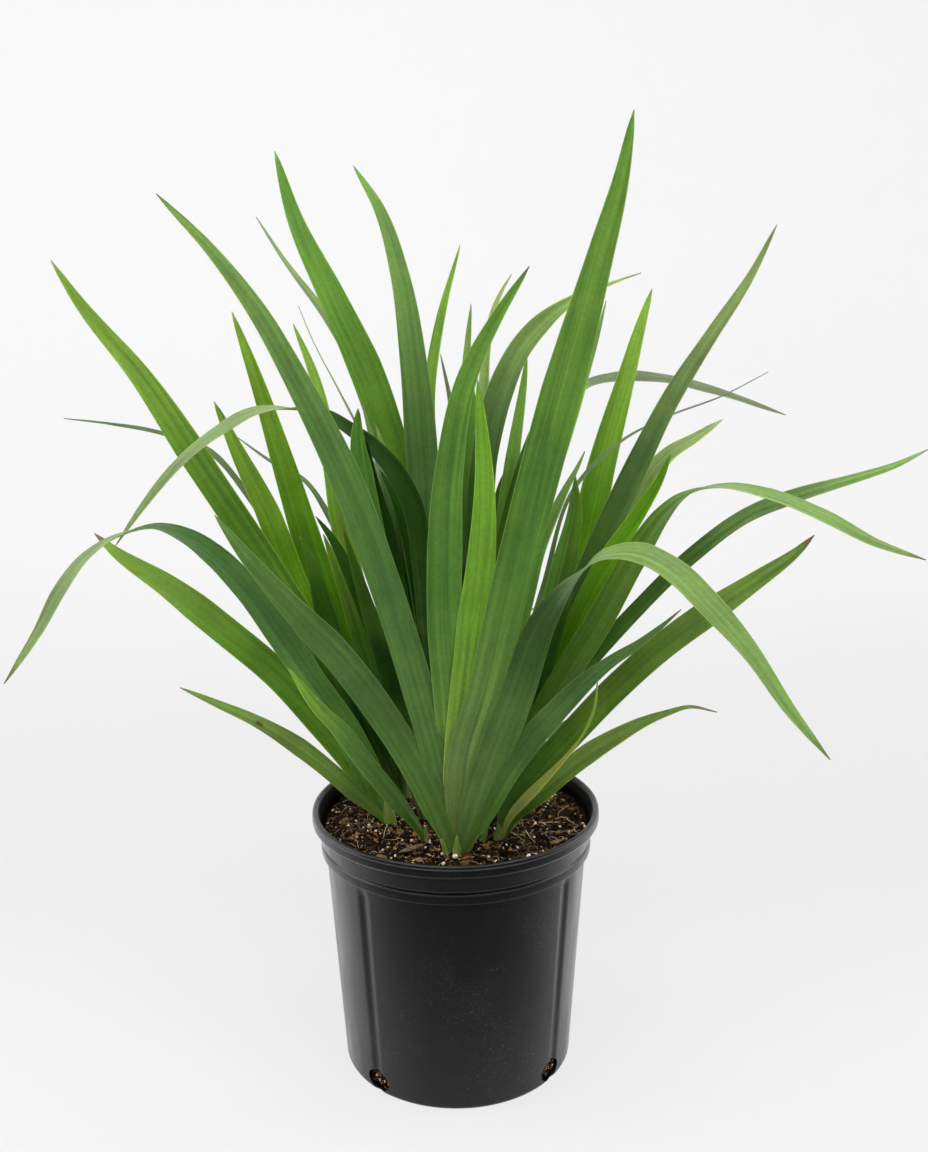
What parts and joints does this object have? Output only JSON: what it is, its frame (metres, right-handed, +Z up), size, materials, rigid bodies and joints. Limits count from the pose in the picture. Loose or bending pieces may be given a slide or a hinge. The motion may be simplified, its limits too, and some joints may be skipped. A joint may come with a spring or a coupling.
{
  "type": "potted walking iris",
  "caption": "Leafy house plant with arching sword leaves in fans, standing in a round black nursery pot filled with potting mix.",
  "frame": {"origin": "centre of the pot's underside", "axes": "+Z up along the pot's axis; the view in the picture looks along +Y with +X to the right"},
  "size_m": [0.5165, 0.3648, 0.5239],
  "materials": {
    "pot_plastic": "black moulded plastic with a soft sheen",
    "potting_mix": "rough dark peat and bark with white grains",
    "leaf": "satin green blade with fine parallel veins"
  },
  "bodies": {
    "root": {"pot": "pot_plastic", "soil": "potting_mix", "fan_front": "leaf", "fan_front_small": "leaf", "fan_right": "leaf", "fan_left": "leaf", "fan_inner_left": "leaf", "fan_centre": "leaf", "fan_inner_right": "leaf", "fan_back_left": "leaf", "fan_back_right": "leaf", "fan_rear": "leaf", "fan_rear_left": "leaf", "fan_rear_right": "leaf"}
  },
  "joints": []
}
